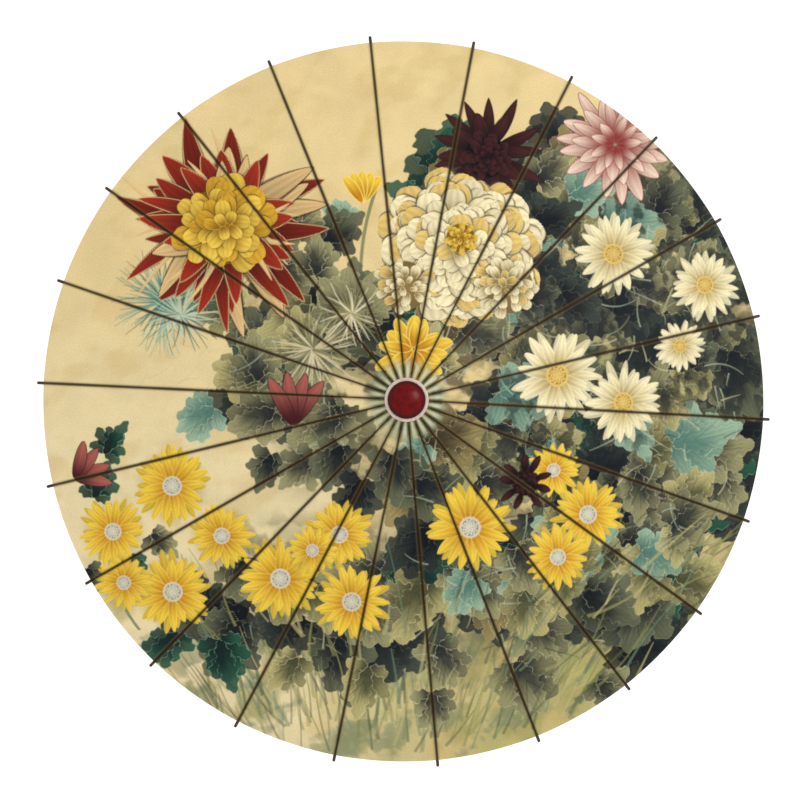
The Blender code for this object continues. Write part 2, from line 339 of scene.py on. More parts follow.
def spidery(art, at, radius, colours, rng, count):
    """A bloom of many thin curling petals."""
    for k in range(count):
        aim = 2 * math.pi * (k + rng.random()) / count
        far = radius * (0.55 + 0.45 * rng.random())
        end = step_from(at, far, aim)
        colour = colours[int(rng.integers(len(colours)))]
        stroke(art, at, end, 2.4, colour, bend=0.16 * (rng.random() - 0.5), cover=0.75)


# Where each lobe starts along the leaf, how it leans, and its share of the leaf's length.
LEAF_LOBES = (
    (0.10, 1.25, 0.46),
    (0.10, -1.25, 0.46),
    (0.40, 0.85, 0.58),
    (0.40, -0.85, 0.58),
    (0.80, 0.5, 0.52),
    (0.80, -0.5, 0.52),
    (0.0, 0.0, 1.0),
)
LOBE = dict(point=0.55, veins=5.0, edge=0.4, fade=0.5, ragged=0.16)


def leaf(art, at, aim, length, inks, rng, cover):
    """A lobed leaf washed from dark ink at its heart to a pale edge, one side of it in shade."""
    root, tip, rim = inks
    wide = length * 0.36
    cos, sin = math.cos(aim), math.sin(aim)
    dark_side = 1 if rng.random() < 0.5 else -1
    for start, lean, share in LEAF_LOBES:
        lean *= 0.8 + 0.4 * rng.random()
        base = step_from(at, length * start * 0.4, aim)
        dim = 0.55 if lean * dark_side > 0 else 1.0
        lobe = (root, root + (tip - root) * dim, rim)
        long = length * share * (0.85 + 0.3 * rng.random())
        bend = 0.14 * lean + 0.16 * (rng.random() - 0.5)
        petal(art, base, aim + lean, long, wide, lobe, bend, cover=cover, **LOBE)
    heart = step_from(at, 0.42 * length, aim)
    index = art.near(*heart, length * 0.36)
    dx, dy = art.x[index] - heart[0], art.y[index] - heart[1]
    side = (dy * cos - dx * sin) * dark_side
    far = np.hypot(dx, dy) / (length * 0.34)
    art.lay(index, root, 0.75 * cover * soft_step(1.0, 0.2, far) * soft_step(-3, 5, side))
    for start, lean, share in LEAF_LOBES:
        base = step_from(at, length * start * 0.4, aim)
        end = step_from(base, length * share * 0.8, aim + lean)
        stroke(art, base, end, 1.6, root * 0.8, cover=0.55 * cover)


# A leaf's colours at the root, the tip and the edge.
LEAF_INKS = (
    (ink(20, 25, 32), ink(96, 100, 76), ink(150, 150, 116)),
    (ink(12, 16, 24), ink(52, 60, 54), ink(92, 98, 82)),
    (ink(38, 42, 42), ink(150, 146, 104), ink(206, 198, 154)),
    (ink(70, 72, 48), ink(178, 168, 112), ink(222, 210, 160)),
    (ink(84, 122, 108), ink(152, 180, 152), ink(200, 212, 180)),
    (ink(14, 34, 34), ink(38, 84, 64), ink(124, 170, 140)),
    (ink(52, 44, 32), ink(150, 134, 86), ink(200, 188, 140)),
)


def paper_ground(art):
    """Bare oiled paper: tan above, creamier at the left, olive below and at the right."""
    x, y = art.x, art.y
    tan, cream, olive = ink(229, 205, 148), ink(236, 219, 172), ink(176, 168, 104)
    art.rgb[:] = tan
    art.wash(cream, 0.8 * soft_step(120, -160, y + 0.2 * x) * soft_step(160, -120, x))
    wash = clouds(x, y, 190, 3)
    low = soft_step(-60, -330, y) * soft_step(-300, 60, x + 0.3 * y)
    art.wash(olive, np.clip(0.9 * low * (0.5 + wash), 0, 1))
    moss = soft_step(-150, -300, y) * soft_step(0.4, 0.7, clouds(x, y, 120, 8))
    art.wash(ink(150, 150, 96), 0.7 * moss)
    shade = soft_step(-180, -280, y) * soft_step(0.5, 0.72, clouds(x, y, 80, 9))
    art.wash(ink(120, 130, 100), 0.6 * shade)
    art.wash(ink(208, 178, 112), 0.35 * soft_step(0.45, 0.85, clouds(x, y, 90, 5)))


def in_foliage(x, y):
    """How thickly leaves grow at a point, from 0 to 1."""
    right = soft_step(60, 130, x + 0.25 * y) * soft_step(262, 180, y - 0.12 * x)
    right *= soft_step(-220, -110, y)
    middle = soft_step(-190, -120, x + 0.3 * y) * soft_step(150, 70, y) * soft_step(-130, -60, y)
    low = soft_step(-110, -160, y) * soft_step(-245, -150, x)
    low *= soft_step(-330, -220, y + 0.12 * np.minimum(x, 60))
    return np.maximum(np.maximum(right, 0.85 * middle), 0.5 * low)


# How many leaves, which of LEAF_INKS they take by chance, and their length in mm.
FOLIAGE_LAYERS = (
    (84, (1, 1, 0, 1, 5), 80),
    (84, (0, 2, 1, 2, 3, 6, 0, 2), 72),
    (66, (2, 3, 4, 2, 0, 3, 3, 6), 60),
)


def random_spot(rng, width, least, most):
    """A random point within the leaves, or None when the draw falls outside them."""
    x, y = (rng.random(2) - 0.5) * width
    outside = rng.random() > float(in_foliage(np.array(x), np.array(y)))
    if outside or not least < math.hypot(x, y) < most:
        return None
    return x, y


def foliage(art, rng):
    """Dark underpainting, then leaves in layers from the deepest to the lightest."""
    thick = in_foliage(art.x, art.y)
    depth = clouds(art.x, art.y, 75, 11)
    deep = clouds(art.x, art.y, 60, 12)
    art.wash(ink(120, 118, 76), 0.75 * thick * soft_step(0.2, 0.6, depth))
    lighter = 1 - 0.5 * soft_step(230, 340, art.x)
    art.wash(ink(18, 23, 30), 0.9 * thick * lighter * soft_step(0.40, 0.62, deep))
    for count, kinds, size in FOLIAGE_LAYERS:
        placed = 0
        while placed < count:
            spot = random_spot(rng, 800, 46, 392)
            if spot is None:
                continue
            aim = math.atan2(spot[1], spot[0]) + (rng.random() - 0.5) * 3.0
            length = size * (0.75 + 0.6 * rng.random())
            inks = LEAF_INKS[kinds[int(rng.integers(len(kinds)))]]
            leaf(art, spot, aim, length, inks, rng, 0.93)
            placed += 1
    pooled_ink(art)
    sprigs(art, rng)


def pooled_ink(art):
    """Dark ink that has run together between the leaves at the right."""
    x, y = art.x, art.y
    where = soft_step(40, 150, x) * soft_step(-150, -70, y)
    where *= soft_step(290, 215, y - 0.12 * x)
    where *= 1 - soft_step(240, 310, x) * soft_step(20, -50, y)
    pools = soft_step(0.46, 0.66, clouds(x, y, 30, 31))
    art.wash(ink(20, 28, 32), where * (0.12 + 0.62 * pools))


SPRIGS = 260


def sprigs(art, rng):
    """Thin stalks and pale stray lines among the leaves."""
    inks = (ink(204, 200, 160), ink(150, 160, 124), ink(30, 36, 38), ink(176, 190, 160))
    placed = 0
    while placed < SPRIGS:
        spot = random_spot(rng, 780, 0, 385)
        if spot is None:
            continue
        aim = rng.random() * 2 * math.pi
        long = 14 + 34 * rng.random()
        end = step_from(spot, long, aim)
        colour = inks[int(rng.integers(len(inks)))]
        stroke(art, spot, end, 1.7, colour, bend=0.3 * (rng.random() - 0.5), cover=0.6)
        placed += 1


GRASS_INKS = (
    ink(84, 92, 60),
    ink(132, 132, 82),
    ink(58, 70, 56),
    ink(190, 182, 124),
    ink(110, 136, 108),
    ink(160, 156, 96),
)


def grass(art, rng, count):
    """Blades that fan out over the lower edge."""
    for _ in range(count):
        x = -230 + 590 * rng.random()
        y = -400 + 170 * rng.random() + 0.3 * max(x - 60, 0)
        lean = 2.1 - 1.3 * soft_step(-250, 250, x) + 0.7 * (rng.random() - 0.5)
        long = 36 + 70 * rng.random()
        end = step_from((x, y), long, lean)
        colour = GRASS_INKS[int(rng.integers(len(GRASS_INKS)))]
        wide = 2 + 3 * rng.random()
        stroke(art, (x, y), end, wide, colour, bend=0.14 * (rng.random() - 0.5), cover=0.5)


# Where each flower stem starts and ends, and how it bends.
STEMS = (
    ((-190, 110), (-120, -40), 0.10),
    ((-30, 245), (-40, 60), -0.08),
    ((-240, -240), (-180, -350), 0.12),
    ((-330, -170), (-300, -260), -0.1),
    ((190, 150), (90, -10), 0.08),
    ((330, 110), (240, -60), 0.08),
    ((60, -160), (40, -330), -0.06),
    ((190, -140), (250, -290), 0.08),
    ((-110, -200), (-60, -330), 0.1),
)
TENDRILS = 30


def stems(art, rng):
    """Stems under the flowers, and faint tendrils on the bare paper at the left."""
    green = ink(118, 128, 86)
    for start, end, bend in STEMS:
        stroke(art, start, end, 4.0, green * 0.6, bend, 0.8, 0.2)
        stroke(art, start, end, 2.6, green * 1.3, bend, 0.8, 0.2)
    for _ in range(TENDRILS):
        x, y = -330 + 260 * rng.random(), -60 + 150 * rng.random()
        end = (x + 60 * rng.random(), y + 50 * (rng.random() - 0.3))
        stroke(art, (x, y), end, 1.0, ink(196, 186, 130), 0.2 * (rng.random() - 0.5), 0.45)


# A flower's colours at the root, the tip and the edge of its petals.
YELLOW = (ink(196, 132, 22), ink(238, 200, 66), ink(246, 218, 108))
CREAM = (ink(176, 150, 80), ink(240, 228, 182), ink(246, 236, 200))
WHITE = (ink(140, 116, 64), ink(240, 226, 180), ink(88, 76, 46))
GOLD = (ink(150, 104, 22), ink(232, 194, 76), ink(92, 62, 20))
RED = (ink(62, 14, 14), ink(160, 48, 28), ink(222, 186, 128))
PINK = (ink(140, 54, 50), ink(234, 206, 184), ink(150, 80, 74))
MAROON = (ink(16, 8, 12), ink(66, 30, 30), ink(30, 14, 18))
BUD = (ink(70, 22, 26), ink(168, 92, 82), ink(60, 24, 30))
STRAW = ink(218, 186, 108)

# The dark and the light colour of an eye.
GREY_EYE = (ink(132, 134, 120), ink(214, 208, 184))
GOLD_EYE = (ink(160, 118, 48), ink(222, 190, 104))

TEAL_THREADS = (ink(60, 112, 96), ink(140, 176, 150), ink(92, 140, 124))
MINT_THREADS = (ink(196, 208, 180), ink(66, 98, 88))
STRAW_THREADS = (ink(228, 216, 180), ink(120, 120, 84), ink(206, 190, 140))
PALE_THREADS = (ink(232, 222, 186), ink(150, 142, 96))

# Middle, radius and colours of each spidery bloom, and its number of petals.
SPIDERY = (
    ((-270, 112), 66, TEAL_THREADS, 120),
    ((-252, 96), 52, MINT_THREADS, 60),
    ((-104, 56), 58, STRAW_THREADS, 80),
    ((-60, 96), 44, PALE_THREADS, 50),
)
# Middle, radius and number of scales.
WHITE_GLOBES = (((60, 168), 92, 150), ((-2, 128), 34, 30), ((112, 128), 38, 36))
# x, y and radius.
WHITE_DAISIES = ((236, 166, 45), (342, 132, 39), (170, 28, 50), (246, -2, 44), (312, 62, 28))
YELLOW_DAISIES = (
    (-330, -148, 38),
    (-262, -96, 43),
    (-206, -152, 36),
    (-262, -216, 44),
    (-318, -206, 32),
    (-140, -200, 44),
    (-74, -150, 38),
    (-60, -226, 42),
    (-104, -168, 28),
    (72, -142, 47),
    (166, -78, 30),
    (206, -128, 40),
    (172, -176, 36),
)


def blooms(art, rng):
    """The flowers, the ones behind first."""
    for at, radius, colours, count in SPIDERY:
        spidery(art, at, radius, colours, rng, count)
    flared(art, (-204, 198), 118, RED, GOLD, rng)
    for count, far, wide in ((17, 62, 18), (13, 46, 15), (9, 30, 11)):
        ring_of_petals(art, (240, 292), count, 2, far, wide, PINK, rng, point=0.55, fade=0.6)
    ring_of_petals(art, (92, 280), 13, 10, 58, 14, MAROON, rng, point=0.8)
    ring_of_petals(art, (92, 280), 8, 8, 44, 16, MAROON, rng, point=0.6)
    globe(art, (92, 276), 30, 40, MAROON, rng)
    for at, radius, scales in WHITE_GLOBES:
        globe(art, at, radius, scales, WHITE, rng, tint=STRAW)
    globe(art, (62, 182), 20, 26, GOLD, rng)
    for lean in (-0.5, -0.25, 0.0, 0.25, 0.5):
        aim = math.pi / 2 + lean
        petal(art, (-48, 222), aim, 36, 13, YELLOW, 0.2 * lean, point=0.4, fade=0.6)
    ring_of_petals(art, (8, 52), 14, 2, 40, 15, YELLOW, rng, point=0.5, fade=0.6)
    ring_of_petals(art, (8, 56), 9, 2, 28, 12, YELLOW, rng, point=0.5, fade=0.6)
    for x, y, radius in WHITE_DAISIES:
        daisy(art, (x, y), radius, CREAM, GOLD_EYE, rng)
    for x, y, radius in YELLOW_DAISIES:
        daisy(art, (x, y), radius, YELLOW, GREY_EYE, rng)
    globe(art, (134, -92), 18, 24, MAROON, rng)
    ring_of_petals(art, (134, -92), 9, 12, 20, 9, MAROON, rng, point=0.6)
    for lean in (-0.45, -0.15, 0.15, 0.45):
        petal(art, (-126, -28), 1.5 + lean, 60, 17, BUD, 0.2 * lean, fade=0.5)
    for lean in (-0.6, -0.2, 0.25, 0.6):
        petal(art, (-374, -88), 0.6 + lean, 44, 15, BUD, 0.2 * lean)


# x, y, bearing, length, and which of LEAF_INKS.
FRONT_LEAVES = (
    (-214, -8, 3.7, 56, 4),
    (-150, -60, 4.4, 44, 0),
    (-256, -262, 3.9, 52, 5),
    (-210, -270, 5.0, 58, 5),
    (-352, -110, 1.2, 46, 5),
    (-340, -60, 1.0, 42, 5),
    (-360, -190, 5.2, 34, 0),
    (-130, 190, 0.3, 48, 2),
    (-142, 150, 5.9, 54, 2),
    (-60, 200, 2.6, 40, 4),
    (150, 250, 0.5, 58, 2),
    (188, 232, 0.2, 52, 4),
    (205, 265, 1.3, 38, 3),
    (-40, -300, 4.4, 56, 3),
    (-104, -64, 3.9, 50, 2),
    (-72, -50, 4.3, 60, 0),
    (-50, -88, 4.5, 58, 1),
    (-16, -60, 4.8, 62, 0),
    (142, 196, 0.5, 60, 1),
    (176, 122, 5.7, 54, 1),
    (286, 214, 0.9, 58, 0),
    (-92, 176, 0.6, 58, 0),
    (-100, 140, 1.5, 50, 2),
    (30, -330, 4.9, 50, 2),
    (-120, -290, 4.0, 48, 3),
    (-312, -176, 4.9, 42, 5),
    (-286, -150, 5.6, 40, 2),
    (-196, -186, 5.3, 50, 2),
    (-176, -176, 4.2, 44, 0),
)


def front_leaves(art, rng):
    """Single leaves laid over the rest, many of them on bare paper."""
    for x, y, aim, length, kind in FRONT_LEAVES:
        leaf(art, (x, y), aim, length, LEAF_INKS[kind], rng, 0.95)


def collar_stripes(art):
    """Pale and green stripes where the paper gathers beside the head."""
    far = np.hypot(art.x, art.y)
    turn = np.arctan2(art.y, art.x) - FIRST_BEARING
    wave = 0.5 - 0.5 * np.cos(turn * RIBS)
    near = soft_step(50, 34, far) * (0.55 + 0.45 * clouds(art.x, art.y, 26, 17))
    art.wash(ink(84, 104, 80), 0.85 * near)
    art.wash(ink(206, 208, 172), near * soft_step(0.35, 0.85, wave))


def rib_show_through_shade(art):
    """The ribs under the paper, painted dark on its top: their own dark colour, and painted
    shade where the ribs block light coming through the translucent paper.
    """
    far = np.hypot(art.x, art.y)
    turn = np.arctan2(art.y, art.x) - FIRST_BEARING
    off = (turn + HALF_GORE) % (2 * HALF_GORE) - HALF_GORE
    across = abs(far * np.sin(off))
    rib = np.round((turn - off) / (2 * HALF_GORE))
    uneven = clouds(far, rib * 37.0, 60, 21)
    half = 1.0 + 0.35 * uneven + 0.4 * soft_step(60, 200, far)
    amount = np.clip((half - across) / 1.2 + 0.5, 0, 1) * soft_step(20, 30, far)
    deep, brown = ink(8, 6, 4), ink(44, 31, 12)
    dark = deep + (brown - deep) * (uneven * 0.8)[:, None]
    # Painted shade: a soft brown band beside each rib, then the dark rib line itself, standing
    # in for the ribs seen through the paper.
    art.wash(ink(120, 96, 50), 0.35 * soft_step(4.2, 1.5, across))
    art.wash(dark, 0.93 * amount)


def paint(points):
    """The painting's linear colours at flat points in metres."""
    greens, flowers = np.random.default_rng(41), np.random.default_rng(7)
    art = Painting(points / MM)
    paper_ground(art)
    grass(art, greens, 520)
    stems(art, greens)
    foliage(art, greens)
    grass(art, greens, 110)
    front_leaves(art, greens)
    blooms(art, flowers)
    collar_stripes(art)
    rib_show_through_shade(art)
    return art.colours()


# ---------------------------------------------------------------- node materials


class Nodes:
    """A short way to write a node material."""

    def __init__(self, name):
        self.material = bpy.data.materials.new(name)
        self.material.use_nodes = True
        self.tree = self.material.node_tree
        self.shader = self.tree.nodes["Principled BSDF"]

    def add(self, kind, **settings):
        node = self.tree.nodes.new("ShaderNode" + kind)
        for key, value in settings.items():
            setattr(node, key, value)
        return node

    def link(self, out, socket):
        """Feed a socket from an output, or from a plain value."""
        if hasattr(out, "node"):
            self.tree.links.new(out, socket)
        else:
            socket.default_value = out

    def math(self, operation, a, b=0.0):
        node = self.add("Math", operation=operation)
        self.link(a, node.inputs[0])
        self.link(b, node.inputs[1])
        return node.outputs[0]

    def mix(self, share, a, b):
        node = self.add("Mix", data_type="RGBA")
        self.link(share, node.inputs["Factor"])
        self.link(a, node.inputs["A"])
        self.link(b, node.inputs["B"])
        return node.outputs["Result"]

    def noise(self, vector, scale, detail=3.0, roughness=0.55):
        node = self.add("TexNoise")
        self.link(vector, node.inputs["Vector"])
        node.inputs["Scale"].default_value = scale
        node.inputs["Detail"].default_value = detail
        node.inputs["Roughness"].default_value = roughness
        return node.outputs["Fac"]

    def ramp(self, value, low, high, out_low=0.0, out_high=1.0):
        node = self.add("MapRange", interpolation_type="SMOOTHSTEP")
        for socket, given in zip(node.inputs, (value, low, high, out_low, out_high)):
            self.link(given, socket)
        return node.outputs[0]

    def combine(self, x, y, z):
        node = self.add("CombineXYZ")
        for socket, value in zip(node.inputs, (x, y, z)):
            self.link(value, socket)
        return node.outputs[0]

    def object_space(self):
        return self.add("TexCoord").outputs["Object"]

    def radial_space(self):
        """A point's distance from the shaft's axis, its bearing and its height."""
        split = self.add("SeparateXYZ")
        self.link(self.object_space(), split.inputs[0])
        x, y, z = split.outputs
        squares = self.math("ADD", self.math("MULTIPLY", x, x), self.math("MULTIPLY", y, y))
        return self.math("SQRT", squares), self.math("ARCTAN2", y, x), z

    def bump(self, height, strength, distance=0.0005):
        node = self.add("Bump")
        node.inputs["Strength"].default_value = strength
        node.inputs["Distance"].default_value = distance
        self.link(height, node.inputs["Height"])
        return node.outputs["Normal"]

    def finish(self, colour, roughness, normal=None, **plain):
        """The material. plain holds other inputs of the shader, with _ for each space."""
        self.link(colour, self.shader.inputs["Base Color"])
        self.link(roughness, self.shader.inputs["Roughness"])
        if normal:
            self.link(normal, self.shader.inputs["Normal"])
        for name, value in plain.items():
            self.shader.inputs[name.replace("_", " ")].default_value = value
        return self.material


def rgba(red, green, blue):
    """ink() for a node's socket."""
    return (*ink(red, green, blue), 1.0)


def paper_material(underside):
    """Oiled paper with fine fibres, from the painted colours on its points."""
    n = Nodes("paper_under" if underside else "paper_top")
    flat = n.add("UVMap", uv_map="flat").outputs[0]
    painted = n.add("Attribute", attribute_name="paint").outputs["Color"]
    fibres = n.noise(flat, 620, 4.0, 0.7)
    cloud = n.noise(flat, 22, 3.0)
    # On the underside the painting shows faintly, mixed 0.26 over bare paper: painted light,
    # standing in for light that comes through the translucent paper.
    if underside:
        bare = n.mix(cloud, rgba(226, 204, 150), rgba(206, 176, 112))
        painted = n.mix(0.26, bare, painted)
    grain = n.ramp(fibres, 0.3, 0.7, 0.90, 1.07)
    shade = n.math("MULTIPLY", grain, n.ramp(cloud, 0.3, 0.7, 0.95, 1.04))
    colour = n.add("VectorMath", operation="SCALE")
    n.link(painted, colour.inputs[0])
    n.link(shade, colour.inputs["Scale"])
    rough = n.ramp(cloud, 0.3, 0.7, 0.40, 0.55)
    normal = n.bump(fibres, 0.25, 0.0002)
    return n.finish(colour.outputs[0], rough, normal, Specular_IOR_Level=0.1)


JOINTS_PER_METRE = 7.5
JOINT_SHIFT = 0.37  # from one rib to the next, so that the joints don't line up
TIPS_FROM_R = 0.398


def bamboo_material(name, light, dark, tips):
    """Split bamboo: fibres along the bar, a joint here and there, and darker ends."""
    n = Nodes(name)
    radius, turn, z = n.radial_space()
    round_it = n.math("MULTIPLY", turn, 0.3)
    along_it = n.math("MULTIPLY", radius, 0.02)
    fibre = n.noise(n.combine(along_it, round_it, n.math("MULTIPLY", z, 0.5)), 900, 4.0, 0.7)
    patch = n.noise(n.combine(radius, round_it, z), 26, 2.0)
    colour = n.mix(n.ramp(fibre, 0.3, 0.7), light, dark)
    colour = n.mix(n.ramp(patch, 0.45, 0.75, 0.0, 0.5), colour, dark)
    positive = n.math("ADD", turn, 7.0)
    which = n.math("FLOOR", n.math("MULTIPLY", positive, RIBS / (2 * math.pi)))
    joints = n.math("MULTIPLY", radius, JOINTS_PER_METRE)
    shifted = n.math("ADD", joints, n.math("MULTIPLY", which, JOINT_SHIFT))
    joint = n.math("ABSOLUTE", n.math("SUBTRACT", n.math("FRACT", shifted), 0.5))
    near_joint = n.ramp(joint, 0.012, 0.004)
    colour = n.mix(n.math("MULTIPLY", near_joint, 0.7), colour, dark)
    colour = n.mix(n.ramp(radius, TIPS_FROM_R, 0.409), colour, tips)
    height = n.math("ADD", fibre, n.math("MULTIPLY", near_joint, 2.0))
    rough = n.ramp(fibre, 0.3, 0.7, 0.38, 0.6)
    return n.finish(colour, rough, n.bump(height, 0.5))


def rod_material(
    name,
    light,
    dark,
    grain=900,
    stretch=0.03,
    coat=0.0,
    rough=(0.3, 0.5),
    marks=(),
):
    """Turned wood or a bamboo rod, with its grain along Z and darker marks at given heights.

    grain is how fine its fibres are. The smaller stretch is, the longer they run.
    """
    n = Nodes(name)
    split = n.add("SeparateXYZ")
    n.link(n.object_space(), split.inputs[0])
    x, y, z = split.outputs
    long_z = n.math("MULTIPLY", z, stretch)
    fibre = n.noise(n.combine(x, y, long_z), grain, 4.0, 0.65)
    patch = n.noise(n.combine(x, y, n.math("MULTIPLY", z, 0.2)), 110, 2.0)
    colour = n.mix(n.ramp(fibre, 0.32, 0.68), light, dark)
    colour = n.mix(n.ramp(patch, 0.4, 0.75, 0.0, 0.6), colour, dark)
    height = fibre
    for mark in marks:
        away = n.math("ABSOLUTE", n.math("SUBTRACT", z, mark))
        near_mark = n.ramp(away, 0.0016, 0.0004)
        colour = n.mix(n.math("MULTIPLY", near_mark, 0.75), colour, dark)
        height = n.math("ADD", height, n.math("MULTIPLY", near_mark, 1.5))
    roughness = n.ramp(fibre, 0.3, 0.7, *rough)
    return n.finish(colour, roughness, n.bump(height, 0.35), Coat_Weight=coat)


def lacquer_material():
    """Deep red lacquer, with painted shade darkening it towards the edge of the dome."""
    n = Nodes("lacquer")
    radius, _, _ = n.radial_space()
    cloud = n.noise(n.object_space(), 180, 3.0)
    speck = n.noise(n.object_space(), 1500, 2.0)
    colour = n.mix(n.ramp(cloud, 0.35, 0.7), rgba(112, 4, 6), rgba(84, 3, 5))
    # Painted shade: the lacquer darkens towards the dome's edge, where its surface turns down.
    colour = n.mix(n.ramp(radius, 0.0155, 0.0205, 0.0, 0.85), colour, rgba(36, 6, 12))
    rough = n.ramp(speck, 0.3, 0.7, 0.22, 0.34)
    return n.finish(colour, rough, n.bump(cloud, 0.08), Specular_IOR_Level=0.14)


def metal_material(name, colour, dark):
    """Bare metal that has dulled in patches."""
    n = Nodes(name)
    cloud = n.noise(n.object_space(), 700, 3.0)
    mixed = n.mix(n.ramp(cloud, 0.35, 0.7), colour, dark)
    rough = n.ramp(cloud, 0.3, 0.7, 0.28, 0.5)
    return n.finish(mixed, rough, n.bump(cloud, 0.1), Metallic=1.0)


# ---------------------------------------------------------------- the paper's shape


def bearing(index):
    return FIRST_BEARING + 2 * HALF_GORE * index


def paper_points(index, radius, angle):
    """Points of the paper's top at one radius and at an array of angles from the rib."""
    off = HALF_GORE - abs(angle)
    along = np.maximum(radius, COLLAR_R) * np.cos(off) / math.cos(HALF_GORE)
    z = HEAD_Z + OVER_PIVOT - (along - PIVOT_R) * math.tan(SLOPE)
    rise = np.clip((COLLAR_R - radius) / (COLLAR_R - COLLAR_IN_R), 0, 1)
    z = z + COLLAR_RISE * rise
    hollow = 1 - (off / HALF_GORE) ** 2
    z = z - SAG * hollow * soft_step(0.04, PAPER_R, radius)
    pleats = np.cos(angle * RIBS)
    z = z + PLEAT_HEIGHT * (pleats - 1) / 2 * soft_step(PLEAT_FADES_R, COLLAR_R, radius)
    turn = bearing(index) + angle
    return np.stack([radius * np.cos(turn), radius * np.sin(turn), z], axis=-1)


def spread(start, end, spacing, least):
    """Values from start to end, about the spacing apart."""
    return np.linspace(start, end, max(least, round(abs(end - start) / spacing) + 1))


def zip_rows(low, high):
    """Triangles between two rows of point numbers that may differ in length."""
    faces, a, b = [], 0, 0
    last_a, last_b = len(low) - 1, len(high) - 1
    while a < last_a or b < last_b:
        if b == last_b or (a < last_a and (a + 1) * last_b <= (b + 1) * last_a):
            faces.append((low[a], low[a + 1], high[b]))
            a += 1
        else:
            faces.append((low[a], high[b + 1], high[b]))
            b += 1
    return faces


def grid(index, reach, span_at, spacing, drop, first):
    """Points of one face of the sheet, and its rows of point numbers from first on."""
    points, rows = [], []
    for radius in spread(*reach, spacing, 2):
        start, end = span_at(radius)
        angles = spread(start * radius, end * radius, spacing, 5) / radius
        row = paper_points(index, radius, angles)
        row[:, 2] -= drop
        points.append(row)
        rows.append(range(first, first + len(angles)))
        first += len(angles)
    return np.concatenate(points), rows


def edges_of(rows):
    """The four edges of a grid, as rows of point numbers."""
    return rows[0], rows[-1], [row[0] for row in rows], [row[-1] for row in rows]


def between_rows(rows):
    return [face for low, high in zip(rows, rows[1:]) for face in zip_rows(low, high)]


def facing(points, faces, outward):
    """The faces, turned over where needed so that they face outward, a vector for each face."""
    faces = np.array(faces)
    a, b, c = (points[faces[:, k]] for k in range(3))
    away = (np.cross(b - a, c - a) * outward(points[faces].mean(axis=1))).sum(axis=1) < 0
    faces[away] = faces[away][:, ::-1]
    return faces


def sheet_piece(index, reach, span_at):
    """Points and faces of a piece of the paper: a fine top, a plainer underside and a rim."""
    top, top_rows = grid(index, reach, span_at, TOP_SPACING, 0.0, 0)
    drop = SHEET_THICK / math.cos(SLOPE)
    under, under_rows = grid(index, reach, span_at, UNDER_SPACING, drop, len(top))
    points = np.concatenate([top, under])
    rim = []
    for upper, lower in zip(edges_of(top_rows), edges_of(under_rows)):
        rim += zip_rows(upper, lower)
    middle = points.mean(axis=0)
    upward = np.array([0.0, 0.0, 1.0])
    top_faces = facing(points, between_rows(top_rows), lambda centre: upward)
    other_faces = [
        facing(points, between_rows(under_rows), lambda centre: -upward),
        facing(points, rim, lambda centre: (centre - middle) * (1, 1, 0)),
    ]
    return points, np.concatenate([top_faces, *other_faces]), len(top_faces)


def panel_span(side):
    """Half a gore, from the edge of the rib's strip to the middle of the gore."""
    return lambda radius: (side * math.asin(STRIP_HALF_W / radius), side * HALF_GORE)


def strip_span(radius):
    """The narrow strip that is glued to the rib."""
    edge = math.asin(STRIP_HALF_W / radius)
    return -edge, edge


def collar_span(radius):
    """A whole gore of the gathered paper next to the head, at every radius."""
    return -HALF_GORE, HALF_GORE


def paper_pieces():
    """(name, rib, side, shape) of every piece of the paper. A collar piece has no side."""
    long, short = (COLLAR_R, PAPER_R), (COLLAR_IN_R, COLLAR_R)
    made = []
    for index in range(RIBS):
        number = f"{index + 1:02d}"
        for side, word in ((-1, "right"), (1, "left")):
            panel = sheet_piece(index, long, panel_span(side))
            made.append((f"paper_{number}_{word}", index, side, panel))
        strip = sheet_piece(index, long, strip_span)
        made.append((f"paper_{number}_on_rib", index, 0, strip))
        collar = sheet_piece(index, short, collar_span)
        made.append((f"paper_{number}_collar", index, None, collar))
    return made


def paper_object(name, shape, colours, materials):
    """The mesh of one piece, with its painted colours. materials is (top, underside)."""
    points, faces, top_count = shape
    mesh = bpy.data.meshes.new(name)
    mesh.from_pydata(points, [], faces)
    paint_layer = mesh.color_attributes.new("paint", "BYTE_COLOR", "POINT")
    opaque = np.column_stack([colours, np.ones(len(colours))])
    paint_layer.data.foreach_set("color", opaque.astype(np.float32).ravel())
    corners = np.empty(len(mesh.loops), np.int32)
    mesh.loops.foreach_get("vertex_index", corners)
    flat = mesh.uv_layers.new(name="flat")
    flat.data.foreach_set("uv", (points[corners, :2] + 0.5).astype(np.float32).ravel())
    for material in materials:
        mesh.materials.append(material)
    below = np.arange(len(faces)) >= top_count
    mesh.polygons.foreach_set("material_index", below.astype(np.int32))
    return add_smooth_object(name, mesh)


def fold_panel(panel):
    """Give the panel a mesh of its own."""
    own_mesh(panel)


def make_paper():
    """The whole canopy: one sheet at rest, in pieces that part along its folds."""
    pieces = paper_pieces()
    everything = np.concatenate([shape[0] for _, _, _, shape in pieces])
    colours = paint(everything[:, :2])
    materials = (paper_material(False), paper_material(True))
    made, first = {}, 0
    for name, index, side, shape in pieces:
        own = colours[first : first + len(shape[0])]
        first += len(own)
        obj = paper_object(name, shape, own, materials)
        made[name] = obj
        body = f"rib_{index + 1:02d}"
        if side is None:
            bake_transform(obj)
            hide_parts("canopy")
            continue
        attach(obj, body)
        if side:
            fold_panel(obj)


# ---------------------------------------------------------------- turned pieces


LATHE_SIDES = 96

